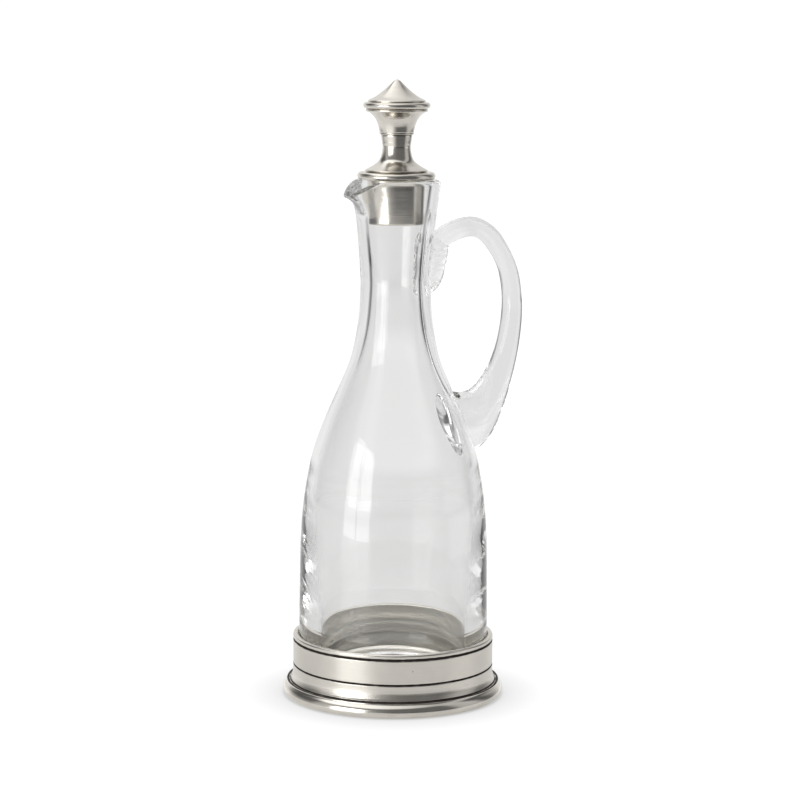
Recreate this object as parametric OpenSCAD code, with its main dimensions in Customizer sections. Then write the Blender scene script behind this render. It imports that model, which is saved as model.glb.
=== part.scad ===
// Glass oil bottle in a pewter base, with a pewter stopper that lifts out.
// Millimetres, +Z up. The origin is the centre of the base's underside, on the bottle's axis.
// +X points along the handle and -X along the pouring lip; the XZ plane is the plane of symmetry.

/* [Overall] */
// Height of the bottle with its stopper seated
overall_h = 260; // [256:1:264]

/* [Pewter base] */
// Widest radius of the foot ring
foot_r = 46.9; // [46.5:0.1:48]
// Height of the foot ring
foot_h = 6.4; // [6:0.1:7]
// Outer radius of the collar
collar_r = 42.5; // [42.3:0.1:43]
// Height of the collar's rim above the table
collar_top = 26; // [24.5:0.5:28]
// Thickness of the floor plate
plate_t = 3; // [2.5:0.5:3.5]

/* [Glass] */
// Outer radius of the straight part of the body
body_r = 40; // [39:0.5:40]
// Outer radius of the neck at its narrowest
neck_r = 14.7; // [14.4:0.1:15.2]
// Outer radius of the lip
lip_r = 18.6; // [18.2:0.1:19]
// Height of the lip above the table
lip_top = 218.5; // [218:0.1:219]
// Inner radius of the body where it is widest
cavity_r = 35; // [34:0.1:36]
// Inner radius of the neck at its narrowest
bore_r = 9.9; // [9.7:0.1:10.3]
// Inner radius of the mouth
mouth_r = 14; // [13.6:0.1:14.2]
// Thickness of the bottle's floor
glass_floor = 5.5; // [4:0.5:7]

/* [Pouring lip] */
// Reach of the pouring lip from the bottle's axis
spout_reach = 24.6; // [24:0.2:26]
// How far the pouring lip's tip droops below the rest of the lip
spout_droop = 6; // [4:0.5:6]

/* [Handle] */
// Reach of the handle from the bottle's axis
handle_reach = 61; // [59:0.5:63]
// Half width of the handle's rod, across the handle's plane
rod_half_w = 4.6; // [4.2:0.1:5]

/* [Stopper] */
// Radius of the flange that rests on the lip
flange_r = 16.3; // [15.8:0.1:16.8]
// Radius of the knob's main ring
knob_r = 14; // [13.5:0.1:14.4]
// Radius of the stem at its waist
waist_r = 5.9; // [5.6:0.1:6.4]
// Radius of the plug at its top
plug_top_r = 12.1; // [11.9:0.1:12.2]
// Radius of the plug at its bottom
plug_end_r = 11.4; // [11:0.1:11.4]
// Length of the plug below the flange
plug_len = 18.2; // [16:0.2:19]

/* [Hidden] */
$fn = 96;

// Clearances
solder_gap = 0.05;   // between soldered or socketed pewter parts
seat_gap = 0.1;      // between the flange and the lip
glass_gap = 0.5;     // around the glass, inside the collar

// Bedding of the glass
bead_t = 0.5;
bead_in_r = 28;
bead_out_r = 34;
socket_r = body_r + glass_gap;

// Glass heights
glass_z = plate_t + bead_t;
floor_z = glass_z + glass_floor;
heel_r = 5;
cavity_heel_r = 10;
punt_r = 20;
punt_h = 2.5;
straight_z = 30;
waist_z = 173;

// Outside and inside of the body, as [share of the way from the neck's radius to the body's, height].
// The wall is thick low down, as blown glass is.
outer_shoulder = [
    [1, straight_z], [0.99, 53], [0.975, 69], [0.92, 85], [0.79, 103],
    [0.6, 117], [0.36, 131], [0.156, 144], [0.045, 158], [0, waist_z],
];
inner_shoulder = [
    [0.84, 20], [0.85, straight_z], [0.87, 40], [0.9, 50], [0.938, 62],
    [0.974, 74], [0.99, 82], [0.978, 88], [0.855, 102], [0.665, 115.6],
    [0.426, 129.6], [0.2, 143], [0.056, 157], [0, waist_z - 1],
];
// Outside and inside of the neck's flare, as [share of the way from the neck's radius to the lip's, height]
outer_flare = [[0.08, 182], [0.4, 195], [0.7, 206]];
inner_flare = [[0.05, 182], [0.32, 195], [0.66, 206]];
lip_edge_r = 1.3;

// Handle centre line as [reach, height, half thickness], from the neck to the body
handle_line = [
    [13.6, 190, 5.2], [20, 193.4, 4.6], [27.5, 196.8, 4.4], [36, 198, 4.3],
    [45, 193.4, 4.4], [52.4, 184, 4.5], [handle_reach - 4.5, 168, 4.5],
    [handle_reach - 5.3, 152, 4.7], [52.2, 137, 5.4], [46, 124.2, 8.5], [39, 116.8, 12.4], [29.5, 112.3, 15],
];
// Tail of the handle, folded down on the neck, as [reach, height, half thickness]
tail_line = [[18, 192, 4], [17.5, 186, 4.2], [16.5, 179, 3.4], [15.4, 173.4, 1.8]];
line_steps = 4;      // rings between two points of a line
flare_share = 0.65;  // width of the handle's lower pad over its height
rod_sides = 20;

// Stopper heights, as heights over the seat
seat_z = lip_top + seat_gap;
stopper_h = overall_h - seat_z;
drawn_h = 41.4;      // the height over the seat for which the stopper's outline is given
stem_h = 3.5;
body_h = 18.7;
cap_h = 29.4;
plug_wall = 1.2;
plug_end_t = 1.2;
socket_depth = 2.2;
spigot_len = 2;
cap_spigot_r = 4;
body_spigot_r = 3.5;
stem_spigot_r = 5;

function up(h) = seat_z + h * stopper_h / drawn_h;

// Point at parameter t of a smooth curve from b to c, with neighbours a and d
function spline(a, b, c, d, t) = 0.5 * (2 * b + (c - a) * t
    + (2 * a - 5 * b + 4 * c - d) * t * t + (3 * b - a - 3 * c + d) * t * t * t);

// Smooth curve through the points p, with n steps between two of them
function smooth(p, n) = [
    for (i = [0:len(p) - 2], k = [0:n - 1])
        spline(p[max(i - 1, 0)], p[i], p[i + 1], p[min(i + 2, len(p) - 1)], k / n),
    p[len(p) - 1],
];

// Arc about the centre c, from angle a0 to a1, in n steps
function arc(c, r, a0, a1, n = 6) = [
    for (k = [0:n]) let (a = a0 + (a1 - a0) * k / n) [c[0] + r * cos(a), c[1] + r * sin(a)],
];

// Shoulder and neck of the glass between the radii given, without its lip
function glass_curve(neck, body, lip, shoulder, flare) = smooth(concat(
    [for (s = shoulder) [neck + (body - neck) * s[0], s[1]]],
    [for (s = flare) [neck + (lip - neck) * s[0], s[1]]]
), 3);

// The points p, given as [radius, height over the seat], as [radius, height over the table]
function stopper_points(p) = [for (q = p) [q[0], up(q[1])]];

// Rod with elliptical rings, swept in the XZ plane along a line of [x, z, half thickness]
module swept_rod(line, half_w) {
    path = smooth(line, line_steps);
    last = len(path) - 1;
    points = [
        for (i = [0:last], k = [0:rod_sides - 1])
            let (
                step = path[min(i + 1, last)] - path[max(i - 1, 0)],
                run = norm([step[0], step[1]]),
                a = 360 * k / rod_sides,
                side = path[i][2] * cos(a),
                half = max(half_w, path[i][2] * flare_share)
            )
            [path[i][0] - side * step[1] / run, half * sin(a), path[i][1] + side * step[0] / run]
    ];
    walls = [
        for (i = [0:last - 1], k = [0:rod_sides - 1])
            let (a = i * rod_sides, b = a + rod_sides, n = (k + 1) % rod_sides)
            [a + k, a + n, b + n, b + k]
    ];
    start_cap = [[for (k = [rod_sides - 1:-1:0]) k]];
    end_cap = [[for (k = [0:rod_sides - 1]) last * rod_sides + k]];
    polyhedron(points, concat(walls, start_cap, end_cap), convexity = 6);
}

// Teardrop-shaped pouring lip: a lip ring, a neck ring and a round tip, joined
module beak(lip_ring, top_z, neck_ring, neck_z, tip, tip_r) {
    ring_h = 1;
    hull() {
        translate([0, 0, top_z - ring_h]) cylinder(h = ring_h, r = lip_ring, $fn = 48);
        translate([0, 0, neck_z]) cylinder(h = ring_h, r = neck_ring, $fn = 48);
        translate(tip) sphere(r = tip_r, $fn = 24);
    }
}

module glass_bottle() {
    over = 0.5;          // that the cavity's tool reaches past the lip
    spout_low_z = 203.5;
    channel_low_z = 206;
    tip_r = 1.8;
    groove_r = 1.5;
    wall_at_tip = 2.2;
    tip_z = lip_top - spout_droop;
    low_cavity_r = bore_r + (cavity_r - bore_r) * inner_shoulder[0][0];
    outside = concat(
        [[0, glass_z + punt_h], [punt_r / 2, glass_z + punt_h * 0.8], [punt_r, glass_z]],
        arc([body_r - heel_r, glass_z + heel_r], heel_r, -90, 0),
        glass_curve(neck_r, body_r, lip_r, outer_shoulder, outer_flare),
        arc([lip_r - lip_edge_r, lip_top - lip_edge_r], lip_edge_r, 0, 90),
        [[0, lip_top]]
    );
    inside = concat(
        [[0, floor_z + punt_h], [punt_r / 2, floor_z + punt_h * 0.8]],
        arc([low_cavity_r - cavity_heel_r, floor_z + cavity_heel_r], cavity_heel_r, -90, 0),
        glass_curve(bore_r, cavity_r, mouth_r, inner_shoulder, inner_flare),
        [[mouth_r, lip_top - 1], [mouth_r + 1, lip_top + over], [0, lip_top + over]]
    );
    color("lightcyan", 0.4)
    difference() {
        union() {
            rotate_extrude() polygon(outside);
            beak(lip_r - 0.6, lip_top - 0.4, neck_r, spout_low_z,
                [tip_r - spout_reach, 0, tip_z - tip_r], tip_r);
        }
        rotate_extrude() polygon(inside);
        beak(mouth_r - 0.4, lip_top + 2 * over, bore_r, channel_low_z,
            [groove_r + wall_at_tip - spout_reach, 0, tip_z + 2 * over], groove_r);
    }
}

module glass_handle() {
    color("azure", 0.4)
    union() {
        swept_rod(handle_line, rod_half_w);
        swept_rod(tail_line, rod_half_w);
    }
}

module base_collar() {
    groove = 0.45;
    low_groove_z = 13.2;
    high_groove_z = collar_top - 2.2;
    rim_r = 0.9;
    flare_r = 1;
    color("gainsboro")
    rotate_extrude() polygon(concat(
        [[socket_r, foot_h], [collar_r + flare_r, foot_h], [collar_r + flare_r * 0.4, foot_h + 1.6],
         [collar_r, foot_h + 3.6],
         [collar_r, low_groove_z - groove], [collar_r - groove, low_groove_z],
         [collar_r, low_groove_z + groove],
         [collar_r, high_groove_z - groove], [collar_r - groove, high_groove_z],
         [collar_r, high_groove_z + groove]],
        arc([collar_r - rim_r, collar_top - rim_r], rim_r, 0, 90, 4),
        [[socket_r, collar_top - 0.4]]
    ));
}

module base_foot_ring() {
    roll_r = 2.6;
    bead_r = 0.8;
    color("silver")
    rotate_extrude() polygon(concat(
        [[socket_r, 0], [foot_r - 1.4, 0]],
        arc([foot_r - roll_r, roll_r], roll_r, -60, 55, 8),
        arc([foot_r - 2.8, foot_h - bead_r], bead_r, -10, 90, 5),
        [[collar_r + 1, foot_h - solder_gap], [socket_r, foot_h - solder_gap]]
    ));
}

module base_plate() {
    color("darkgray")
    cylinder(h = plate_t, r = socket_r - solder_gap);
}

module bond_bead() {
    color("ivory")
    translate([0, 0, plate_t])
    rotate_extrude() translate([bead_in_r, 0]) square([bead_out_r - bead_in_r, bead_t]);
}

// Spigot of radius r from height z up, and the socket that takes it
module spigot(z, r, len) {
    translate([0, 0, z]) cylinder(h = len, r = r);
}

module socket(z, r) {
    translate([0, 0, z]) cylinder(h = socket_depth + 1, r = r + solder_gap);
}

module stopper_knob_cap() {
    ring_r = 1.3;
    ring_h = cap_h + ring_r;
    color("gainsboro")
    union() {
        rotate_extrude() polygon(stopper_points(concat(
            [[0, cap_h], [knob_r - ring_r, cap_h]],
            arc([knob_r - ring_r, ring_h], ring_r, -80, 80),
            [[knob_r - 2.2, ring_h + 1.5]],
            smooth([
                [knob_r - 1.9, 32.8], [8.8, 34.3], [5.5, 36.8], [2.9, 39.3], [1.2, 40.95], [0, drawn_h],
            ], 3)
        )));
        spigot(up(cap_h) - spigot_len, cap_spigot_r, spigot_len);
    }
}

module stopper_knob_body() {
    ring_r = 0.65;
    color("silver")
    difference() {
        rotate_extrude() polygon(stopper_points(concat(
            [[0, body_h], [6.9, body_h], [7.2, body_h + 0.4]],
            smooth([[7.3, 19.7], [7.6, 22], [8.5, 24.4], [9.6, 26.2], [11.5, 27.8]], 3),
            arc([knob_r - 1 - ring_r, cap_h - ring_r - solder_gap], ring_r, -80, 90, 5),
            [[0, cap_h - solder_gap]]
        )));
        socket(up(cap_h) - socket_depth, cap_spigot_r);
        socket(up(body_h) - 1, body_spigot_r);
    }
}

module stopper_stem() {
    color("gainsboro")
    union() {
        rotate_extrude() polygon(stopper_points(concat(
            [[0, stem_h], [12.8, stem_h], [13.1, stem_h + 0.3], [13, stem_h + 0.7]],
            smooth([[12.6, 4.4], [9.2, 6.2], [7, 8.5], [waist_r, 12.7], [6.1, 15.3], [6.5, 18.2]], 3),
            [[6.9, body_h - solder_gap], [0, body_h - solder_gap]]
        )));
        spigot(up(body_h) - 1, body_spigot_r, spigot_len + 1);
        spigot(up(stem_h) - spigot_len, stem_spigot_r, spigot_len + 1);
    }
}

module stopper_flange() {
    roll_r = 1.6;
    color("silver")
    difference() {
        rotate_extrude() polygon(stopper_points(concat(
            [[0, 0], [flange_r - roll_r, 0]],
            arc([flange_r - roll_r, roll_r + 0.05], roll_r, -80, 90, 8),
            [[12.6, 3.25], [12.5, stem_h - solder_gap], [0, stem_h - solder_gap]]
        )));
        socket(up(stem_h) - socket_depth, stem_spigot_r);
    }
}

module plug_sleeve() {
    edge = 0.5;
    color("darkgray")
    rotate_extrude() polygon([
        [plug_top_r - plug_wall, seat_z - solder_gap], [plug_top_r, seat_z - solder_gap],
        [plug_end_r, seat_z - plug_len + edge], [plug_end_r - edge, seat_z - plug_len],
        [plug_end_r - plug_wall, seat_z - plug_len],
    ]);
}

module plug_end_disc() {
    color("gray")
    translate([0, 0, seat_z - plug_len])
    cylinder(h = plug_end_t, r = plug_end_r - plug_wall - solder_gap);
}

glass_bottle();
glass_handle();
base_collar();
base_foot_ring();
base_plate();
bond_bead();
stopper_knob_cap();
stopper_knob_body();
stopper_stem();
stopper_flange();
plug_sleeve();
plug_end_disc();
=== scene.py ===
"""Glass oil bottle in a pewter base, with a lift-out pewter stopper: its looks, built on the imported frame."""
import math

import bpy
import bmesh
import numpy as np
from mathutils import Matrix, Vector, noise


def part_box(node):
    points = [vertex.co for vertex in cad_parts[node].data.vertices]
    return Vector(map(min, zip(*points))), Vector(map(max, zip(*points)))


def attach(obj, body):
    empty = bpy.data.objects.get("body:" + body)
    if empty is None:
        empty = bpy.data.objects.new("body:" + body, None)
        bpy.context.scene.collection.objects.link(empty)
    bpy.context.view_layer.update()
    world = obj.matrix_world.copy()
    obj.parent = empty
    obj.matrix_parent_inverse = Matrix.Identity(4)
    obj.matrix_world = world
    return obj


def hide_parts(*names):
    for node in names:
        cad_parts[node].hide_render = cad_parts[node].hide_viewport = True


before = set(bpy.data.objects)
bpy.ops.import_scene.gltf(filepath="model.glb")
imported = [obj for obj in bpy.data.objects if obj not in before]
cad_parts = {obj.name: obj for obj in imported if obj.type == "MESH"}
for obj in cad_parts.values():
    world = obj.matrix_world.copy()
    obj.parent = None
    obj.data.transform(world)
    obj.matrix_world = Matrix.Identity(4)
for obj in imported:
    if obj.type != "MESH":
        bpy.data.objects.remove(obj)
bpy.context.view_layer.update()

MM = 0.001
SIDES = 192           # round a turned piece
GLASS_SIDES = 256     # round the glass
STEP = 0.35           # mm between two points of a turned outline
VIEW_AZIMUTH = 28.0   # degrees that the handle points away from the camera's picture plane
GLASS_IOR = 1.5
BLACK = (0, 0, 0, 1)


# ---------------------------------------------------------------- sizes, in mm, from the frame

def top(node):
    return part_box(node)[1].z / MM


def low(node):
    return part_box(node)[0].z / MM


def half_width(node):
    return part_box(node)[1].y / MM


BODY_R = half_width("glass_bottle")
LIP_TOP = top("glass_bottle")
GLASS_LOW = low("glass_bottle")
COLLAR_TOP = top("base_collar")
COLLAR_LOW = low("base_collar")
FOOT_R = half_width("base_foot_ring")
FOOT_TOP = top("base_foot_ring")
PLATE_TOP = top("base_plate")
PLATE_R = half_width("base_plate")
SEAT = low("stopper_flange")
FLANGE_R = half_width("stopper_flange")
FLANGE_TOP = top("stopper_flange")
STEM_TOP = low("stopper_knob_body")
CAP_LOW = top("stopper_knob_body")
KNOB_R = half_width("stopper_knob_cap")
TIP = top("stopper_knob_cap")
PLUG_LOW = low("plug_sleeve")
PLUG_R = half_width("plug_sleeve")
PLUG_END_T = top("plug_end_disc") - low("plug_end_disc")
JOINT_GAP = 0.04      # between two turned pieces that are soldered together


# ---------------------------------------------------------------- curves and meshes

def spline(points, steps=6):
    """Smooth curve through the points (Catmull-Rom), any number of coordinates each."""
    p = [np.array(q, float) for q in points]
    out = []
    for i in range(len(p) - 1):
        a, b, c, d = p[max(i - 1, 0)], p[i], p[i + 1], p[min(i + 2, len(p) - 1)]
        for k in range(steps):
            t = k / steps
            out.append(0.5 * (2 * b + (c - a) * t + (2 * a - 5 * b + 4 * c - d) * t ** 2
                              + (3 * b - a - 3 * c + d) * t ** 3))
    out.append(p[-1])
    return [tuple(q) for q in out]


def arc(centre, radius, start, end, steps=8):
    """Arc about the centre, angles in degrees."""
    turn = [math.radians(start + (end - start) * k / steps) for k in range(steps + 1)]
    return [(centre[0] + radius * math.cos(t), centre[1] + radius * math.sin(t)) for t in turn]


def even(points, step):
    """The same line with its long stretches divided, so that no stretch is longer than step."""
    out = [np.array(points[0], float)]
    for a, b in zip(points[:-1], points[1:]):
        a, b = np.array(a, float), np.array(b, float)
        n = max(1, math.ceil(np.linalg.norm(b - a) / step))
        out += [a + (b - a) * k / n for k in range(1, n + 1)]
    return np.array(out)


def make_piece(name, points, faces, body, material):
    """A smooth-shaded mesh from points in mm, riding on a body."""
    mesh = bpy.data.meshes.new(name)
    mesh.from_pydata((np.asarray(points) * MM).tolist(), [], faces)
    mesh.validate()
    mesh.update()
    mesh.shade_smooth()
    mesh.materials.append(material)
    piece = bpy.data.objects.new(name, mesh)
    bpy.context.scene.collection.objects.link(piece)
    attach(piece, body)
    return piece


def turned_grid(outline, sides):
    """Points and faces of an outline of (radius, height) turned about Z. A radius of 0 is a single point."""
    points, rings, faces = [], [], []
    for r, z in outline:
        if r < 1e-6:
            rings.append([len(points)] * sides)
            points.append((0.0, 0.0, z))
        else:
            rings.append(list(range(len(points), len(points) + sides)))
            for k in range(sides):
                a = 2 * math.pi * k / sides
                points.append((r * math.cos(a), r * math.sin(a), z))
    closed = outline[0][0] > 1e-6 and outline[-1][0] > 1e-6
    pairs = list(zip(rings[:-1], rings[1:])) + ([(rings[-1], rings[0])] if closed else [])
    for a, b in pairs:
        for k in range(sides):
            n = (k + 1) % sides
            corners = [a[k], a[n], b[n], b[k]]
            faces.append([c for i, c in enumerate(corners) if c not in corners[:i]])
    return np.array(points), faces


def wobble(points, size, wave, seed):
    """Moves points in or out a little, as hand turning and hand polishing leave them."""
    for p in points:
        r = math.hypot(p[0], p[1])
        if r > 0.5:
            n = noise.noise(Vector((p[0] / wave, p[1] / wave, p[2] / wave * 0.7 + seed)))
            p[:2] *= 1 + size * n / r
    return points


def turned_piece(name, node, body, material, outline, size=0.05, wave=9.0, socket=None):
    """A turned metal piece that stands for a CAD node. The outline runs anticlockwise in (radius, height).

    size and wave are of its hand-made unevenness, in mm. socket is a radius and the material inside it.
    """
    points, faces = turned_grid(even(outline, STEP), SIDES)
    limit = np.hypot(points[:, 0], points[:, 1]).max()
    points = wobble(points, size, wave, seed=len(name))
    reach = np.hypot(points[:, 0], points[:, 1])
    over = np.maximum(reach / limit, 1.0)
    points[:, 0] /= over
    points[:, 1] /= over
    piece = make_piece(name, points, faces, body, material)
    if socket:
        socket_r, socket_material = socket
        piece.data.materials.append(socket_material)
        for face in piece.data.polygons:
            if all(math.hypot(*piece.data.vertices[v].co[:2]) < socket_r * MM for v in face.vertices):
                face.material_index = 1
    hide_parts(node)


# ---------------------------------------------------------------- materials

def grey(value):
    return (value, value, value, 1)


class Nodes:
    """Small helper that adds and links shader nodes."""

    def __init__(self, tree):
        self.tree = tree
        tree.nodes.clear()

    def add(self, kind, inputs=None, **settings):
        node = self.tree.nodes.new(kind)
        for key, value in settings.items():
            setattr(node, key, value)
        for key, value in (inputs or {}).items():
            if isinstance(value, bpy.types.NodeSocket):
                self.tree.links.new(value, node.inputs[key])
            else:
                node.inputs[key].default_value = value
        return node

    def math(self, operation, a, b=0.0, c=0.0):
        node = self.add("ShaderNodeMath", {0: a, 1: b, 2: c}, operation=operation)
        return node.outputs[0]

    def ramp(self, factor, stops, interpolation="LINEAR"):
        node = self.add("ShaderNodeValToRGB", {"Fac": factor})
        ramp = node.color_ramp
        ramp.interpolation = interpolation
        while len(ramp.elements) < len(stops):
            ramp.elements.new(0.5)
        for element, (place, value) in zip(ramp.elements, stops):
            element.position = place
            element.color = grey(value)
        return node.outputs["Color"]

    def mix(self, factor, a, b):
        node = self.add("ShaderNodeMix", {0: factor, 6: a, 7: b}, data_type="RGBA")
        return node.outputs[2]


def seen_through_glass(n):
    """1 on a ray that has come through glass, and 0 on any other. For the stage only."""
    return n.math("GREATER_THAN", n.add("ShaderNodeLightPath").outputs["Transmission Depth"], 0.5)


def new_material(name):
    material = bpy.data.materials.new(name)
    material.use_nodes = True
    return material, Nodes(material.node_tree)


def grooves_mask(n, height, places):
    """1 at the heights of dark recesses, given as (height in mm, half width in mm), and 0 elsewhere."""
    total = None
    for place, half in places:
        off = n.math("ABSOLUTE", n.math("SUBTRACT", height, place * MM))
        near = n.math("SUBTRACT", 1.0, n.math("DIVIDE", off, half * MM))
        near = n.math("MAXIMUM", near, 0.0)
        total = near if total is None else n.math("MAXIMUM", total, near)
    return total


def stretched_noise(n, place, around, along, detail, roughness=0.5):
    """Noise stretched round or along the axis, with this many waves per metre round it and along it."""
    scaled = n.add("ShaderNodeMapping", {0: place, "Scale": (around, around, along)}).outputs[0]
    return n.add("ShaderNodeTexNoise", {"Vector": scaled, "Scale": 1.0, "Detail": detail,
                                        "Roughness": roughness}).outputs[0]


PEWTER = (0.77, 0.735, 0.673)
# Partly painted light: the metal inside the base is made lighter than clean pewter, standing in for the light
# that the dim inside under the glass lacks
FRESH_PEWTER_AND_PAINTED_LIGHT = (1.0, 0.945, 0.873)    # clean metal inside the base, under the glass
PATINA = (0.055, 0.047, 0.042)
SHADE_SPREAD = 0.05                   # how far the metal's shade goes from its mean, as a share of it
POLISH_SPREAD = 0.1                   # how far its roughness goes, from the smoothest to the roughest
FINE_DEPTH, STREAK_DEPTH, DENT_DEPTH = 0.00003, 0.00004, 0.0001     # of the bumps, in metres


def pewter(name, base, roughness, anisotropic, turning, recesses=(), pitting=1.0, metallic=1.0):
    """Turned pewter: fine lines round the axis, cloudy polish, small pits, and dark patina in its recesses.

    turning is how much the turned lines show, from 0 to 1, and pitting how much the pits and scratches do.
    """
    material, n = new_material(name)
    place = n.add("ShaderNodeTexCoord").outputs["Object"]
    height = n.add("ShaderNodeSeparateXYZ", {0: place}).outputs["Z"]
    fine = stretched_noise(n, place, around=45, along=4200, detail=2.0)
    streaks = stretched_noise(n, place, around=22, along=1150, detail=4.0, roughness=0.62)
    cloud = n.add("ShaderNodeTexNoise", {"Vector": place, "Scale": 95.0, "Detail": 5.0,
                                         "Roughness": 0.6}).outputs[0]
    shade = n.math("MULTIPLY_ADD", streaks, turning, n.math("MULTIPLY", cloud, 1 - turning))
    darker = [(1 - SHADE_SPREAD) * c for c in base]
    lighter = [min((1 + SHADE_SPREAD) * c, 1.0) for c in base]
    colour = n.mix(n.ramp(shade, [(0.32, 0.0), (0.68, 1.0)]), (*darker, 1), (*lighter, 1))
    rough = n.math("MULTIPLY_ADD", cloud, POLISH_SPREAD, roughness - POLISH_SPREAD / 2)
    rough = n.math("MULTIPLY_ADD", streaks, turning * POLISH_SPREAD,
                   n.math("SUBTRACT", rough, turning * POLISH_SPREAD / 2))
    if recesses:
        uneven = n.add("ShaderNodeTexNoise", {"Vector": place, "Scale": 420.0, "Detail": 4.0}).outputs[0]
        patina = n.math("MULTIPLY", grooves_mask(n, height, recesses),
                        n.math("MULTIPLY_ADD", uneven, 2.4, 0.35))
        patina = n.ramp(patina, [(0.42, 0.0), (0.72, 1.0)])
        colour = n.mix(patina, colour, (*PATINA, 1))
        rough = n.math("MULTIPLY_ADD", patina, 0.3, rough)

    # Round pits, kept only where a coarser noise is high, and a few scratches round the axis
    pits = n.add("ShaderNodeTexVoronoi", {"Vector": place, "Scale": 300.0, "Randomness": 1.0}).outputs[0]
    pits = n.ramp(pits, [(0.0, 1.0), (0.06, 0.8), (0.1, 0.0)])
    few = n.add("ShaderNodeTexNoise", {"Vector": place, "Scale": 120.0, "Detail": 1.0}).outputs[0]
    pits = n.math("MULTIPLY", pits, n.ramp(few, [(0.672, 0.0), (0.70, 1.0)]))
    scratches = n.ramp(stretched_noise(n, place, around=110, along=2400, detail=0.0),
                       [(0.83, 0.0), (0.86, 1.0)])
    worn = n.math("MULTIPLY", n.math("MAXIMUM", pits, n.math("MULTIPLY", scratches, 0.4)), pitting)
    colour = n.mix(worn, colour, (*PATINA, 1))

    bump = n.add("ShaderNodeBump", {"Strength": turning, "Distance": FINE_DEPTH, "Height": fine})
    bump = n.add("ShaderNodeBump", {"Strength": turning, "Distance": STREAK_DEPTH, "Height": streaks,
                                    "Normal": bump.outputs[0]})
    dents = n.math("MULTIPLY_ADD", worn, -1.0, n.math("MULTIPLY", cloud, 0.3))
    bump = n.add("ShaderNodeBump", {"Strength": 0.35, "Distance": DENT_DEPTH, "Height": dents,
                                    "Normal": bump.outputs[0]})
    tangent = n.add("ShaderNodeTangent", direction_type="RADIAL", axis="Z").outputs[0]
    shader = n.add("ShaderNodeBsdfPrincipled", {
        "Base Color": colour, "Metallic": metallic, "Roughness": rough, "Anisotropic": anisotropic,
        "Normal": bump.outputs[0], "Tangent": tangent})
    n.add("ShaderNodeOutputMaterial", {"Surface": shader.outputs[0]})
    return material


def clear_glass(name):
    """Clear hand-blown glass with the faintest ripple."""
    material, n = new_material(name)
    place = n.add("ShaderNodeTexCoord").outputs["Object"]
    ripple = stretched_noise(n, place, around=34, along=14, detail=1.0)
    bump = n.add("ShaderNodeBump", {"Strength": 0.2, "Distance": 0.0006, "Height": ripple})
    tint = n.add("ShaderNodeTexNoise", {"Vector": place, "Scale": 9.0, "Detail": 0.0}).outputs[0]
    colour = n.mix(tint, (0.979, 0.979, 0.977, 1), (0.989, 0.989, 0.987, 1))
    shader = n.add("ShaderNodeBsdfPrincipled", {
        "Base Color": colour, "Roughness": 0.0, "IOR": GLASS_IOR, "Transmission Weight": 1.0,
        "Normal": bump.outputs[0]})
    n.add("ShaderNodeOutputMaterial", {"Surface": shader.outputs[0]})
    return material


def clear_bedding(name):
    """Cured clear adhesive: milky, slightly uneven."""
    material, n = new_material(name)
    place = n.add("ShaderNodeTexCoord").outputs["Object"]
    cloud = n.add("ShaderNodeTexNoise", {"Vector": place, "Scale": 300.0, "Detail": 3.0}).outputs[0]
    colour = n.mix(cloud, (0.8, 0.79, 0.75, 1), (0.9, 0.89, 0.86, 1))
    bump = n.add("ShaderNodeBump", {"Strength": 0.3, "Distance": 0.0002, "Height": cloud})
    shader = n.add("ShaderNodeBsdfPrincipled", {
        "Base Color": colour, "Roughness": 0.45, "Transmission Weight": 0.4, "IOR": 1.41,
        "Normal": bump.outputs[0]})
    n.add("ShaderNodeOutputMaterial", {"Surface": shader.outputs[0]})
    return material


def white_floor(name):
    """Plain glossy white studio floor. The camera sees it as white, with a light contact shadow painted into
    its glow by ambient occlusion.
    """
    material, n = new_material(name)
    glow = n.math("MULTIPLY_ADD", seen_through_glass(n), FLOOR_GLOW_THROUGH_GLASS - FLOOR_GLOW, FLOOR_GLOW)
    as_lit = n.add("ShaderNodeBsdfPrincipled", {
        "Base Color": grey(FLOOR_ALBEDO), "Roughness": FLOOR_ROUGHNESS, "IOR": 1.5,
        "Emission Color": grey(1), "Emission Strength": glow})
    # Painted contact shadow: the glow that the camera sees is dimmed where ambient occlusion finds the bottle
    # close by
    open_sky = n.add("ShaderNodeAmbientOcclusion", {"Distance": FLOOR_PAINTED_SHADOW_REACH}).outputs["AO"]
    white = n.ramp(open_sky, [(0.35, FLOOR_PAINTED_SHADOW), (0.7, 0.8), (0.92, 0.94), (1.0, 1.0)])
    as_seen = n.add("ShaderNodeBsdfPrincipled", {
        "Base Color": grey(0.1), "Roughness": 0.9, "Specular IOR Level": 0.0,
        "Emission Color": white, "Emission Strength": 1.0})
    seen = n.add("ShaderNodeLightPath").outputs["Is Camera Ray"]
    shader = n.add("ShaderNodeMixShader", {0: seen, 1: as_lit.outputs[0], 2: as_seen.outputs[0]})
    place = n.add("ShaderNodeTexCoord").outputs["Object"]
    radius = n.add("ShaderNodeVectorMath", {0: place}, operation="LENGTH").outputs["Value"]
    fade = n.ramp(n.math("DIVIDE", radius, FLOOR_RADIUS), [(FLOOR_FADE, 0.0), (1.0, 1.0)], "EASE")
    clear = n.add("ShaderNodeBsdfTransparent")
    shader = n.add("ShaderNodeMixShader", {0: fade, 1: shader.outputs[0], 2: clear.outputs[0]})
    n.add("ShaderNodeOutputMaterial", {"Surface": shader.outputs[0]})
    return material


# ---------------------------------------------------------------- glass

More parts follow.
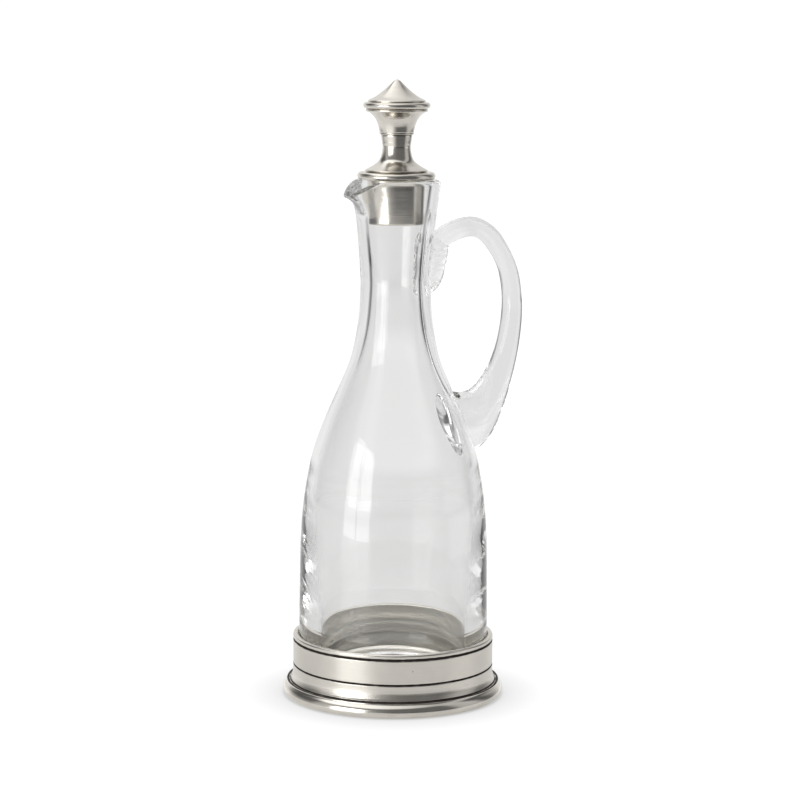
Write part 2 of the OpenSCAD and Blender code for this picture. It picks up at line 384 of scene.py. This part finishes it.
# Outside and inside of the body, as (share of the way from the neck's radius to the body's, height).
# The wall is thick low down, as blown glass is.
OUTER_SHOULDER = [(1, 30), (0.99, 53), (0.975, 69), (0.92, 85), (0.79, 103), (0.6, 117), (0.36, 131),
                  (0.156, 144), (0.045, 158), (0, 173)]
INNER_SHOULDER = [(0.84, 19), (0.846, 26), (0.862, 34), (0.89, 43), (0.922, 53), (0.95, 63), (0.968, 71),
                  (0.97, 77), (0.96, 84), (0.92, 93), (0.855, 102), (0.665, 115.6), (0.426, 129.6),
                  (0.2, 143), (0.056, 157), (0, 172)]
# Outside and inside of the neck's flare, as (share of the way from the neck's radius to the lip's, height)
OUTER_FLARE = [(0.08, 182), (0.32, 195), (0.63, 206), (0.93, LIP_TOP - 3.5)]
INNER_FLARE = [(0.05, 182), (0.32, 195), (0.66, 206), (0.95, LIP_TOP - 3.5)]
NECK_R, LIP_R = 14.7, 18.6
CAVITY_R, BORE_R, MOUTH_R = 35.0, 9.9, 14.0
GLASS_FLOOR = 5.5
HEEL_R, CAVITY_HEEL_R = 5.0, 10.0
PUNT_R, PUNT_H = 20.0, 2.5
LIP_EDGE_R = 1.6
GLASS_STEP = 1.0      # mm between two points of the glass's outline


def glass_curve(neck, body, lip, shoulder, flare):
    """Body, neck and flare as (radius, height), upwards."""
    line = [(neck + (body - neck) * s, z) for s, z in shoulder]
    line += [(neck + (lip - neck) * s, z) for s, z in flare]
    return spline(line, 8)


def glass_outline():
    """The glass wall's outline, from the underside's centre round the outside and down the inside."""
    floor = GLASS_LOW + GLASS_FLOOR
    under = spline([(0, GLASS_LOW + PUNT_H), (PUNT_R * 0.5, GLASS_LOW + PUNT_H * 0.8),
                    (PUNT_R, GLASS_LOW + 0.3), (PUNT_R + 4, GLASS_LOW)], 6)
    heel = arc((BODY_R - HEEL_R, GLASS_LOW + HEEL_R), HEEL_R, -90, 0)
    outer = glass_curve(NECK_R, BODY_R, LIP_R, OUTER_SHOULDER, OUTER_FLARE)
    lip_out = arc((LIP_R - LIP_EDGE_R, LIP_TOP - LIP_EDGE_R), LIP_EDGE_R, 0, 90)
    lip_in = arc((MOUTH_R + LIP_EDGE_R, LIP_TOP - LIP_EDGE_R), LIP_EDGE_R, 90, 180)
    inner = glass_curve(BORE_R, CAVITY_R, MOUTH_R, INNER_SHOULDER, INNER_FLARE)[::-1]
    heel_in = arc((inner[-1][0] - CAVITY_HEEL_R, floor + CAVITY_HEEL_R), CAVITY_HEEL_R, 0, -90)
    bottom = spline([(PUNT_R * 0.9, floor + 0.2), (PUNT_R * 0.5, floor + PUNT_H * 0.8),
                     (0, floor + PUNT_H)], 6)
    outside = under + heel + outer + lip_out
    inside = lip_in + inner + heel_in + bottom
    return even(outside, GLASS_STEP), even(inside, GLASS_STEP)


SPOUT_REACH = 24.8    # of the pouring lip's tip from the axis
SPOUT_DROOP = 6.5     # of the tip below the rest of the lip
SPOUT_ROOT = 203.0    # height at which the pull starts
SPOUT_WALL = 2.4
SPOUT_NOSE = math.radians(9)    # rounds the tip
SPOUT_RISE = 1.6      # powers that shape the pull up the lip, the droop up the lip, and the droop round it
DROOP_RISE, DROOP_ROUND = 2.0, 1.05


def pull_spout(points, inside):
    """Pulls the lip out towards -X into a teardrop beak whose tip droops."""
    lip = MOUTH_R if inside else LIP_R
    reach = SPOUT_REACH - (SPOUT_WALL if inside else 0)
    spread = math.acos(lip / reach) + SPOUT_NOSE
    for p in points:
        t = (p[2] - SPOUT_ROOT) / (LIP_TOP - SPOUT_ROOT)
        r = math.hypot(p[0], p[1])
        if t <= 0 or r < 5:
            continue
        off = math.hypot(math.atan2(abs(p[1]), -p[0]), SPOUT_NOSE)
        pull = lip / math.cos(max(spread - off, 0)) - lip
        rise = t ** SPOUT_RISE * (1 if t < 1 else 1 / t)
        k = (r + pull * rise) / r
        p[0] *= k
        p[1] *= k
        p[2] -= SPOUT_DROOP * (pull / (reach - lip)) ** DROOP_ROUND * t ** DROOP_RISE
    return points


RIPPLE_SIZE = {True: 0.03, False: 0.014}      # mm, inside and outside
RIPPLE_PLACES = [(math.radians(158), 1.0), (math.radians(-34), 0.4)]    # (place round the body, strength)
RIPPLE_SPREAD = math.radians(24)
RIPPLE_MID, RIPPLE_REACH = 47.0, 21.0         # mm
RIPPLE_WAVES = [(1.0, 7.0, 1.9, 0.55, 0), (0.5, 3.5, 1.1, 0.4, 9)]      # share, length, width, slant, seed


def ripple_wall(points, inside):
    """Slanting chatter marks that the blower's tools leave low on two sides of the body."""
    for p in points:
        r = math.hypot(p[0], p[1])
        fade = math.exp(-((p[2] - RIPPLE_MID) / RIPPLE_REACH) ** 4)
        if r < BORE_R * 2 or fade < 0.02:
            continue
        turn = math.atan2(p[1], p[0])
        for place, strength in RIPPLE_PLACES:
            off = (turn - place + math.pi) % (2 * math.pi) - math.pi
            weight = strength * fade * math.exp(-(off / RIPPLE_SPREAD) ** 2)
            if weight < 0.01:
                continue
            along = off * BODY_R
            n = 0.0
            for share, length, width, slant, seed in RIPPLE_WAVES:
                across = p[2] + slant * along
                n += share * noise.noise(Vector((along / length, across / width, place + seed)))
            p[:2] *= 1 + RIPPLE_SIZE[inside] * weight * n / r
    return points


def bottle_mesh():
    """Points and faces of the blown body, its two walls joined at the lip."""
    outside, inside = glass_outline()
    out_points, out_faces = turned_grid(outside, GLASS_SIDES)
    in_points, in_faces = turned_grid(inside, GLASS_SIDES)
    out_points = ripple_wall(pull_spout(out_points, False), False)
    in_points = ripple_wall(pull_spout(in_points, True), True)
    shift = len(out_points)
    rim_out, rim_in = shift - GLASS_SIDES, shift
    join = []
    for k in range(GLASS_SIDES):
        n = (k + 1) % GLASS_SIDES
        join.append([rim_out + k, rim_out + n, rim_in + n, rim_in + k])
    faces = out_faces + join + [[i + shift for i in f] for f in in_faces]
    return np.vstack([out_points, in_points]), faces


# Rings of the handle, from the neck to the body: (outer reach, height, inner reach, height, half width)
HANDLE_RINGS = [
    (12.4, 193.8, 12.4, 185.2, 4.8), (15.5, 195.2, 17.5, 186.2, 4.7), (19.2, 197, 21.5, 188, 4.6),
    (24.2, 199.6, 25.9, 190.6, 4.6), (30.5, 201.6, 30.8, 192.8, 4.6), (37, 202, 36, 193.6, 4.6),
    (43, 200, 40.6, 192, 4.6), (49.2, 195.2, 45, 187.6, 4.6), (55, 186.7, 49.3, 181, 4.6),
    (58.7, 178.2, 51.4, 174, 4.6), (60.5, 168, 52.3, 166.4, 4.7), (60.8, 158, 51.9, 158.5, 4.8),
    (59.6, 147, 50.2, 149.5, 4.9), (57.6, 137.5, 47.8, 142.5, 5.1), (55.4, 129.5, 44.6, 136.4, 5.4),
    (52.5, 121, 40.8, 131.4, 6.0), (48.8, 112.6, 36.6, 128.2, 6.9), (44.5, 106.4, 32.6, 127.3, 8.2),
    (39.7, 102.6, 29.2, 127.6, 9.0), (35.3, 101.3, 26.5, 128.2, 9.3), (33.0, 101.2, 22.8, 128.4, 9.3),
]
# Rings of the handle's tail, folded down on the neck
TAIL_RINGS = [
    (22.5, 194, 12.8, 193, 4.2), (24.7, 190.4, 12.8, 189.5, 5.2), (24.4, 187, 12.6, 186, 5.5),
    (23.6, 183, 12.3, 182.4, 5.4), (22.5, 179, 12, 178.6, 5.2), (21.1, 175.4, 11.8, 175, 4.8),
    (19.2, 172.6, 11.8, 172.4, 4.2), (16.6, 170.6, 12, 170.6, 3.2), (14, 169.8, 12.2, 169.8, 1.6),
]
RING_STEPS = 12       # rings made between two of these
ROD_SIDES, TAIL_SIDES = 64, 40
CRIMP_PITCH, CRIMP_DEPTH = 2.9, 0.9     # mm, of the crimps along the tail, next to the neck


def lofted(rings, sides, crimped=False):
    """Points and faces of a closed rod through elliptical rings."""
    path = np.array(spline(rings, RING_STEPS))
    points, faces = [], []
    for ox, oz, ix, iz, half_w in path:
        crimp = CRIMP_DEPTH * math.sin(2 * math.pi * oz / CRIMP_PITCH + 1.5 * math.sin(oz)) if crimped else 0
        for k in range(sides):
            a = 2 * math.pi * k / sides
            share = 0.5 + 0.5 * math.cos(a)
            wide = half_w + crimp * max(0.0, 1 - abs(share - 0.35) / 0.35)
            points.append((ix + (ox - ix) * share, wide * math.sin(a), iz + (oz - iz) * share))
    for i in range(len(path) - 1):
        for k in range(sides):
            n = (k + 1) % sides
            faces.append([i * sides + k, (i + 1) * sides + k, (i + 1) * sides + n, i * sides + n])
    faces.append(list(range(sides)))
    faces.append([(len(path) - 1) * sides + k for k in range(sides - 1, -1, -1)])
    return np.array(points), faces


def boolean_union(base, *others):
    """Joins closed meshes into one."""
    for other in others:
        cut = base.modifiers.new("fuse", "BOOLEAN")
        cut.operation, cut.solver, cut.object = "UNION", "EXACT", other
    graph = bpy.context.evaluated_depsgraph_get()
    fused = bpy.data.meshes.new_from_object(base.evaluated_get(graph))
    base.modifiers.clear()
    old = base.data
    base.data = fused
    bpy.data.meshes.remove(old)
    for other in others:
        bpy.data.objects.remove(other)


def soften_seams(mesh, reach, rounds):
    """Rounds the line where two meshes of different material index meet, as fused glass is.

    reach is how many edges from the line it takes in. Every face ends on material index 0.
    """
    bm = bmesh.new()
    bm.from_mesh(mesh)
    bmesh.ops.triangulate(bm, faces=[f for f in bm.faces if len(f.verts) > 4])
    seam = [e for e in bm.edges if len({f.material_index for f in e.link_faces}) > 1]
    near = {v for e in seam for v in e.verts}
    for _ in range(reach):
        near |= {e.other_vert(v) for v in list(near) for e in v.link_edges}
    for _ in range(rounds):
        moved = {}
        for v in near:
            ring = [e.other_vert(v).co for e in v.link_edges]
            moved[v] = v.co * 0.5 + sum(ring, Vector()) / len(ring) * 0.5
        for v, co in moved.items():
            v.co = co
    for f in bm.faces:
        f.material_index = 0
        f.smooth = True
    bm.normal_update()
    bm.to_mesh(mesh)
    bm.free()


def loose_object(name, points, faces, material_index):
    mesh = bpy.data.meshes.new(name)
    mesh.from_pydata((points * MM).tolist(), [], faces)
    mesh.update()
    mesh.polygons.foreach_set("material_index", [material_index] * len(mesh.polygons))
    made = bpy.data.objects.new(name, mesh)
    bpy.context.scene.collection.objects.link(made)
    return made


def build_glass(material):
    """The bottle with its handle fused on is one piece of glass, so light crosses no face between them."""
    points, faces = bottle_mesh()
    bottle = make_piece("bottle_glass", points, faces, "bottle", material)
    rod = loose_object("rod", *lofted(HANDLE_RINGS, ROD_SIDES), 1)
    tail = loose_object("tail", *lofted(TAIL_RINGS, TAIL_SIDES, crimped=True), 2)
    parts = (bottle, rod, tail)
    for part in parts:
        while len(part.data.materials) < len(parts):
            part.data.materials.append(material)
    boolean_union(bottle, rod, tail)
    soften_seams(bottle.data, reach=2, rounds=6)
    bottle.data.materials.clear()
    bottle.data.materials.append(material)
    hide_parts("glass_bottle", "glass_handle")


# ---------------------------------------------------------------- pewter base

LOW_GROOVE, HIGH_GROOVE = 13.2, COLLAR_TOP - 2.2
GROOVE_DEPTH = 0.42
LOW_GROOVE_HALF, HIGH_GROOVE_HALF = 0.38, 0.48
BEAD_INNER_R = 28.0


def groove(radius, height, half):
    """A small round-bottomed groove in an outline that runs upwards."""
    return [(radius, height - half * 1.35), (radius - 0.05, height - half),
            (radius - GROOVE_DEPTH, height - half * 0.4), (radius - GROOVE_DEPTH, height + half * 0.4),
            (radius - 0.05, height + half), (radius, height + half * 1.35)]


def build_base(satin, polished, fresh_and_painted_light, bedding):
    socket_r = PLATE_R + 0.05
    # Inside the collar and the foot: the lighter pewter, partly clean metal and partly painted light
    inside = (socket_r + 0.3, fresh_and_painted_light)
    collar_r = half_width("base_collar") - 1
    rim = 0.8
    collar = ([(socket_r, COLLAR_LOW), (collar_r + 0.85, COLLAR_LOW), (collar_r + 0.98, COLLAR_LOW + 0.12)]
              + spline([(collar_r + 0.96, COLLAR_LOW + 0.3), (collar_r + 0.66, COLLAR_LOW + 0.9),
                        (collar_r + 0.32, COLLAR_LOW + 1.8), (collar_r + 0.09, COLLAR_LOW + 3.0),
                        (collar_r, COLLAR_LOW + 4.3)])
              + groove(collar_r, LOW_GROOVE, LOW_GROOVE_HALF)
              + groove(collar_r, HIGH_GROOVE, HIGH_GROOVE_HALF)
              + arc((collar_r - rim, COLLAR_TOP - rim), rim, 0, 90)
              + [(socket_r + 0.5, COLLAR_TOP - 0.02)]
              + arc((socket_r + 0.4, COLLAR_TOP - 0.45), 0.4, 90, 180, 4))
    turned_piece("collar", "base_collar", "bottle", satin, collar, size=0.10, wave=14,
                 socket=inside)

    foot = ([(socket_r, 0), (FOOT_R - 1.6, 0), (FOOT_R - 1.2, 0.12)]
            + spline([(FOOT_R - 0.9, 0.4), (FOOT_R - 0.25, 1.2), (FOOT_R, 2.3), (FOOT_R - 0.2, 3.4),
                      (FOOT_R - 0.75, 4.45), (FOOT_R - 1.6, 5.4), (FOOT_R - 1.8, 5.75)])
            + arc((FOOT_R - 2.15, FOOT_TOP - 0.4), 0.38, 35, 110, 5)
            + [(collar_r + 1.75, FOOT_TOP - 0.35), (collar_r + 1.3, FOOT_TOP - 0.4),
               (collar_r + 1.1, FOOT_TOP - 0.02), (socket_r, FOOT_TOP - 0.02)])
    turned_piece("foot_ring", "base_foot_ring", "bottle", polished, foot, size=0.08,
                 wave=16, socket=inside)

    edge = 0.3
    plate = ([(0, 0), (PLATE_R - edge, 0)] + arc((PLATE_R - edge, edge), edge, -90, 0, 4)
             + arc((PLATE_R - edge, PLATE_TOP - edge), edge, 0, 90, 4) + [(0, PLATE_TOP)])
    turned_piece("floor_plate", "base_plate", "bottle", fresh_and_painted_light, plate, size=0.0)

    outer = half_width("bond_bead")
    mid = (PLATE_TOP + GLASS_LOW) / 2
    half = (GLASS_LOW - PLATE_TOP) / 2
    bead_line = arc((outer - half, mid), half, -90, 90, 6) + arc((BEAD_INNER_R + half, mid), half, 90, 270, 6)
    turned_piece("bedding", "bond_bead", "bottle", bedding, bead_line, size=0.0)


# ---------------------------------------------------------------- pewter stopper

def build_stopper(polished, brushed):
    ring = 1.3
    centre = CAP_LOW + 0.05 + ring
    neck_ring = 0.65

    cap = ([(0, CAP_LOW + JOINT_GAP), (KNOB_R - ring, CAP_LOW + JOINT_GAP)]
           + arc((KNOB_R - ring, centre), ring, -80, 80, 12)
           + [(KNOB_R - 2.25, centre + ring + 0.1), (KNOB_R - 2.3, centre + ring + 0.25)]
           + arc((KNOB_R - 2.2, centre + ring + 0.5), 0.28, -70, 75, 6)
           + spline([(KNOB_R - 2.2, TIP - 8.5), (8.9, TIP - 7.05), (5.6, TIP - 4.6), (2.9, TIP - 2.05),
                     (1.35, TIP - 0.55)])
           + arc((0, TIP - 1.4), 1.4, 50, 90, 6))
    turned_piece("knob_cap", "stopper_knob_cap", "stopper", polished, cap, size=0.04)

    bowl = ([(0, STEM_TOP), (6.9, STEM_TOP)] + arc((6.85, STEM_TOP + 0.4), 0.4, -80, 70, 6)
            + spline([(7.2, STEM_TOP + 1.0), (7.6, STEM_TOP + 3.3), (8.5, STEM_TOP + 5.7),
                      (9.7, STEM_TOP + 7.5), (11.5, STEM_TOP + 9.1)])
            + arc((KNOB_R - 1 - neck_ring, CAP_LOW - neck_ring), neck_ring, -70, 90, 8)
            + [(0, CAP_LOW)])
    turned_piece("knob_bowl", "stopper_knob_body", "stopper", polished, bowl, size=0.04)

    flare = FLANGE_TOP + JOINT_GAP
    stem = ([(0, flare), (12.7, flare)] + arc((12.78, flare + 0.32), 0.32, -80, 80, 6)
            + spline([(12.55, flare + 0.8), (9.3, flare + 2.65), (7.0, flare + 4.95), (5.9, flare + 9.2),
                      (6.1, flare + 11.8), (6.5, STEM_TOP - 0.6)])
            + [(6.5, STEM_TOP - JOINT_GAP), (0, STEM_TOP - JOINT_GAP)])
    turned_piece("stem", "stopper_stem", "stopper", polished, stem, size=0.04)

    roll = 1.6
    flange = ([(0, SEAT), (FLANGE_R - roll, SEAT)]
              + arc((FLANGE_R - roll, SEAT + roll), roll, -88, 90, 14)
              + [(12.7, SEAT + 2 * roll - 0.02), (12.5, FLANGE_TOP), (0, FLANGE_TOP)])
    turned_piece("flange", "stopper_flange", "stopper", polished, flange, size=0.04)

    edge = 0.45
    end_r = PLUG_R - 0.7
    wall = 1.2
    top_z = SEAT - JOINT_GAP
    sleeve = ([(end_r - wall, PLUG_LOW), (end_r - edge, PLUG_LOW)]
              + arc((end_r - edge, PLUG_LOW + edge), edge, -90, 0, 5)
              + [(PLUG_R, top_z), (PLUG_R - wall, top_z)])
    turned_piece("plug", "plug_sleeve", "stopper", brushed, sleeve, size=0.02)

    disc_r = end_r - wall - 0.04
    disc = [(0, PLUG_LOW), (disc_r - 0.15, PLUG_LOW), (disc_r, PLUG_LOW + 0.15),
            (disc_r, PLUG_LOW + PLUG_END_T), (0, PLUG_LOW + PLUG_END_T)]
    turned_piece("plug_end", "plug_end_disc", "stopper", brushed, disc, size=0.0)


# ---------------------------------------------------------------- studio

CAMERA_DISTANCE, CAMERA_HEIGHT = 1.10, 0.290
CAMERA_PITCH = math.radians(8.487)
CAMERA_AIM = math.radians(0.116)    # to the right of the axis
CAMERA_ROLL = math.radians(0.45)
CAMERA_LENS, SENSOR_WIDTH = 118.83, 36.0    # mm


def level_axes(azimuth):
    """Straight ahead and to the right, for a viewer on this side who looks level at the axis."""
    turn = math.radians(azimuth)
    return Vector((math.sin(turn), math.cos(turn), 0)), Vector((math.cos(turn), -math.sin(turn), 0))


def swung(a, b, angle):
    """Two directions at right angles, both turned by an angle, from a towards b."""
    return a * math.cos(angle) + b * math.sin(angle), b * math.cos(angle) - a * math.sin(angle)


def add_camera():
    """The camera stands where the photo's did, and looks slightly down."""
    level, right = level_axes(VIEW_AZIMUTH)
    place = -level * CAMERA_DISTANCE
    place.z = CAMERA_HEIGHT
    level, right = swung(level, right, CAMERA_AIM)
    ahead = level * math.cos(CAMERA_PITCH) + Vector((0, 0, -math.sin(CAMERA_PITCH)))
    right, up = swung(right, right.cross(ahead), CAMERA_ROLL)
    data = bpy.data.cameras.new("camera")
    data.lens, data.sensor_width = CAMERA_LENS, SENSOR_WIDTH
    data.clip_start, data.clip_end = 0.05, 50
    camera = bpy.data.objects.new("camera", data)
    camera.matrix_world = Matrix.Translation(place) @ Matrix((right, up, -ahead)).transposed().to_4x4()
    bpy.context.scene.collection.objects.link(camera)
    bpy.context.scene.camera = camera


FLOOR_RADIUS, FLOOR_FADE = 0.45, 0.56     # the floor fades out from this share of its radius
FLOOR_ALBEDO, FLOOR_ROUGHNESS = 0.5, 0.12                       # as the object sees it
FLOOR_GLOW, FLOOR_GLOW_THROUGH_GLASS = 0.38, 0.18
# The floor's contact shadow is painted: its darkest glow, and how far the ambient occlusion that drives it
# reaches
FLOOR_PAINTED_SHADOW, FLOOR_PAINTED_SHADOW_REACH = 0.56, 0.03                   # as the camera sees it
FLOOR_LOWERED = 0.0001                                          # keeps it off the foot's flat underside


def add_floor():
    """A round table top that fades into the backdrop."""
    bm = bmesh.new()
    bmesh.ops.create_circle(bm, cap_ends=True, segments=128, radius=FLOOR_RADIUS)
    mesh = bpy.data.meshes.new("floor")
    bm.to_mesh(mesh)
    bm.free()
    mesh.materials.append(white_floor("floor_white"))
    floor = bpy.data.objects.new("floor", mesh)
    floor.location.z = -FLOOR_LOWERED
    bpy.context.scene.collection.objects.link(floor)


# Brightness of the studio round the bottle: (degrees from the camera's side, brightness). + is to the right.
LEVEL_ROUND = [
    (-180, 0.88), (-136, 0.9), (-130, 0.6), (-122, 0.42), (-98, 0.3), (-90, 0.5), (-78, 0.6), (-68, 0.45),
    (-30, 0.35), (-6, 0.2), (0, 0.15), (68, 0.13), (77, 0.53), (104, 0.48), (112, 0.18), (124, 0.14),
    (132, 0.35), (142, 0.62), (150, 0.88), (180, 0.88),
]
RAISED_ROUND = [
    (-180, 0.8), (-150, 0.9), (-140, 0.3), (-132, 0.1), (-96, 0.1), (-88, 0.45), (-76, 0.5), (-66, 0.3),
    (-30, 0.25), (-6, 0.2), (0, 0.16), (66, 0.14), (74, 0.5), (98, 0.6), (108, 0.1), (120, 0.08),
    (130, 0.3), (138, 0.44), (155, 0.7), (180, 0.8),
]
BELOW_ROUND = [
    (-180, 0.88), (-136, 0.9), (-130, 0.6), (-122, 0.42), (-98, 0.3), (-90, 0.5), (-78, 0.6), (-70, 0.6),
    (-64, 1.7), (-32, 1.7), (-26, 0.3), (-6, 0.12), (0, 0.06), (68, 0.05), (75, 0.95), (106, 0.95),
    (112, 0.18), (124, 0.14), (132, 0.35), (142, 0.62), (150, 0.88), (180, 0.88),
]
FAR_ROUND = [
    (-180, 0.88), (-146, 0.88), (-138, 0.5), (-122, 0.1), (-82, 0.06), (-74, 0.5), (-64, 1.5), (-32, 1.5),
    (-26, 0.3), (-6, 0.2), (0, 0.15), (66, 0.13), (80, 0.04), (116, 0.04), (124, 0.14), (140, 0.4),
    (151, 0.88), (180, 0.88),
]
TABLE_ROUND = [
    (-180, 0.88), (-80, 0.8), (-68, 1.0), (-28, 1.0), (-15, 0.5), (0, 0.14), (66, 0.14), (78, 0.6),
    (140, 0.75), (160, 0.88), (180, 0.88),
]
# The sine of the elevation at which each ring of the studio is seen
STUDIO_RINGS = [
    (-0.22, TABLE_ROUND), (-0.19, FAR_ROUND), (-0.175, FAR_ROUND), (-0.155, BELOW_ROUND),
    (-0.03, BELOW_ROUND), (-0.01, LEVEL_ROUND), (0.10, LEVEL_ROUND), (0.30, RAISED_ROUND),
]
CEILING_MID, CEILING_SLOPE = 1.0, -0.9        # brightness straight up, and how it changes to the right
CEILING_TILT = -0.135                         # lifts the ceiling's edge on the right
SEEN_BACKDROP = 1.08                          # brightness that the camera sees past the bottle

# Through glass, the walls look bright above and below the level and far behind, and dark at the two sides.
THROUGH_GLASS = 0.8                           # that brightness
FRONT_LIGHT = [                               # the same high up in front, in degrees from the camera's side
    (-110, THROUGH_GLASS), (-72, 2.0), (-60, 2.1), (-54, 2.8), (-38, 2.8), (-32, 2.1), (42, 2.1), (50, 2.4),
    (62, 2.4), (70, 2.0), (110, THROUGH_GLASS),
]
DIMMED = 0.06                                 # taken off the walls where they aren't bright
SIDES_SEEN, SIDES_SHADE = 0.15, 0.5           # share of it left at the sides, and how dark they are
# Ramps by the share of a full turn from the camera's side
AT_SIDES = [(0.2, 0.0), (0.235, 1.0), (0.335, 1.0), (0.37, 0.0)]
BEHIND = [(0.345, 0.0), (0.385, 1.0)]
# Ramps by the sine of the elevation
OFF_LEVEL, OFF_LEVEL_BEHIND = [(0.15, 0.0), (0.24, 1.0)], [(0.03, 0.0), (0.09, 1.0)]
HIGH_UP, OVERHEAD = [(0.26, 0.0), (0.42, 1.0)], [(0.72, 0.0), (0.86, 1.0)]


def add_world():
    """The studio's walls round the bottle and its bright ceiling. The camera sees plain white."""
    world = bpy.data.worlds.new("studio")
    world.use_nodes = True
    bpy.context.scene.world = world
    n = Nodes(world.node_tree)
    way = n.add("ShaderNodeTexCoord").outputs["Generated"]
    turned = n.add("ShaderNodeVectorRotate", {"Vector": way, "Angle": math.radians(VIEW_AZIMUTH)},
                   rotation_type="Z_AXIS")
    x, y, z = n.add("ShaderNodeSeparateXYZ", {0: turned.outputs[0]}).outputs
    azimuth = n.math("ARCTAN2", x, n.math("MULTIPLY", y, -1.0))
    place = n.math("MULTIPLY_ADD", azimuth, 1 / (2 * math.pi), 0.5)

    def ramp_round(stops):
        return n.ramp(place, [(degrees / 360 + 0.5, value) for degrees, value in stops])

    below, stops = STUDIO_RINGS[0]
    sky = ramp_round(stops)
    for above, stops in STUDIO_RINGS[1:]:
        share = n.add("ShaderNodeMapRange", {0: z, 1: below, 2: above}).outputs[0]
        sky = n.mix(share, sky, ramp_round(stops))
        below = above

    through = seen_through_glass(n)
    aside = n.math("ABSOLUTE", n.math("SUBTRACT", place, 0.5))
    off_level = n.math("ABSOLUTE", z)
    sides = n.ramp(aside, AT_SIDES)
    bright = n.math("MULTIPLY", n.ramp(off_level, OFF_LEVEL),
                    n.math("MULTIPLY_ADD", sides, SIDES_SEEN - 1, 1.0))
    bright = n.math("MAXIMUM", bright,
                    n.math("MULTIPLY", n.ramp(aside, BEHIND), n.ramp(off_level, OFF_LEVEL_BEHIND)))
    light = n.mix(n.ramp(z, HIGH_UP), grey(THROUGH_GLASS), ramp_round(FRONT_LIGHT))
    sky = n.mix(n.math("MULTIPLY", through, DIMMED), sky, BLACK)
    sky = n.mix(n.math("MULTIPLY", through, bright), sky, light)
    sky = n.mix(n.math("MULTIPLY", n.math("MULTIPLY", through, sides), SIDES_SHADE), sky, BLACK)

    ceiling = n.math("MULTIPLY_ADD", x, CEILING_SLOPE, CEILING_MID)
    ceiling = n.add("ShaderNodeCombineColor", {0: ceiling, 1: ceiling, 2: ceiling}).outputs[0]
    sky = n.mix(n.ramp(n.math("MULTIPLY_ADD", x, CEILING_TILT, z), OVERHEAD, "EASE"), sky, ceiling)
    seen = n.add("ShaderNodeLightPath").outputs["Is Camera Ray"]
    sky = n.mix(seen, sky, grey(SEEN_BACKDROP))
    shader = n.add("ShaderNodeBackground", {"Color": sky, "Strength": 1.0})
    n.add("ShaderNodeOutputWorld", {"Surface": shader.outputs[0]})


WINDOW_DISTANCE, WINDOW_AZIMUTH = 1.25, -47.0     # degrees from the camera's side
PANE_W, PANE_H, MULLION = 0.36, 0.76, 0.045
WINDOW_LOW = -0.03                                # height of its lower edge
WINDOW_BRIGHTNESS = 2.6


def add_window():
    """A tall window of two panes to the left of the camera."""
    inward, side = level_axes(VIEW_AZIMUTH - WINDOW_AZIMUTH)
    for column in (-0.5, 0.5):
        data = bpy.data.lights.new("window_pane", "AREA")
        data.shape = "RECTANGLE"
        data.size, data.size_y = PANE_W, PANE_H
        data.energy = WINDOW_BRIGHTNESS * math.pi * PANE_W * PANE_H
        pane = bpy.data.objects.new("window_pane", data)
        pane.location = (-inward * WINDOW_DISTANCE + side * column * (PANE_W + MULLION)
                         + Vector((0, 0, WINDOW_LOW + PANE_H / 2)))
        pane.rotation_euler = inward.to_track_quat("-Z", "Y").to_euler()
        bpy.context.scene.collection.objects.link(pane)


# ---------------------------------------------------------------- the scene

satin = pewter("satin_pewter", PEWTER, roughness=0.23, anisotropic=0.8, turning=0.35,
               recesses=[(LOW_GROOVE, 0.68), (HIGH_GROOVE, 0.9), (COLLAR_LOW, 0.4)])
polished_foot = pewter("polished_pewter_foot", PEWTER, roughness=0.15, anisotropic=0.6, turning=0.2,
                       recesses=[(FOOT_TOP - 0.1, 0.45)])
# Pewter inside the base: partly its own clean colour, partly painted light that brightens the dim cup
fresh_and_painted_light = pewter("fresh_pewter_and_painted_light", FRESH_PEWTER_AND_PAINTED_LIGHT, roughness=0.4, anisotropic=0.92, turning=1.0, pitting=0.5,
               metallic=0.9)
polished = pewter("polished_pewter", PEWTER, roughness=0.19, anisotropic=0.5, turning=0.2,
                  recesses=[(STEM_TOP - 0.05, 0.16)], pitting=0.6)
brushed = pewter("brushed_pewter", PEWTER, roughness=0.14, anisotropic=0.8, turning=0.2, pitting=0.0)

build_glass(clear_glass("clear_glass"))
build_base(satin, polished_foot, fresh_and_painted_light, clear_bedding("bedding"))
build_stopper(polished, brushed)
add_camera()
add_floor()
add_world()
add_window()

# Plain display, so that the white table stays white, and enough bounces for thick glass in front of metal
BOUNCES = 32
bpy.context.scene.view_settings.view_transform = "Standard"
for kind in ("max_bounces", "transmission_bounces", "glossy_bounces"):
    setattr(bpy.context.scene.cycles, kind, BOUNCES)
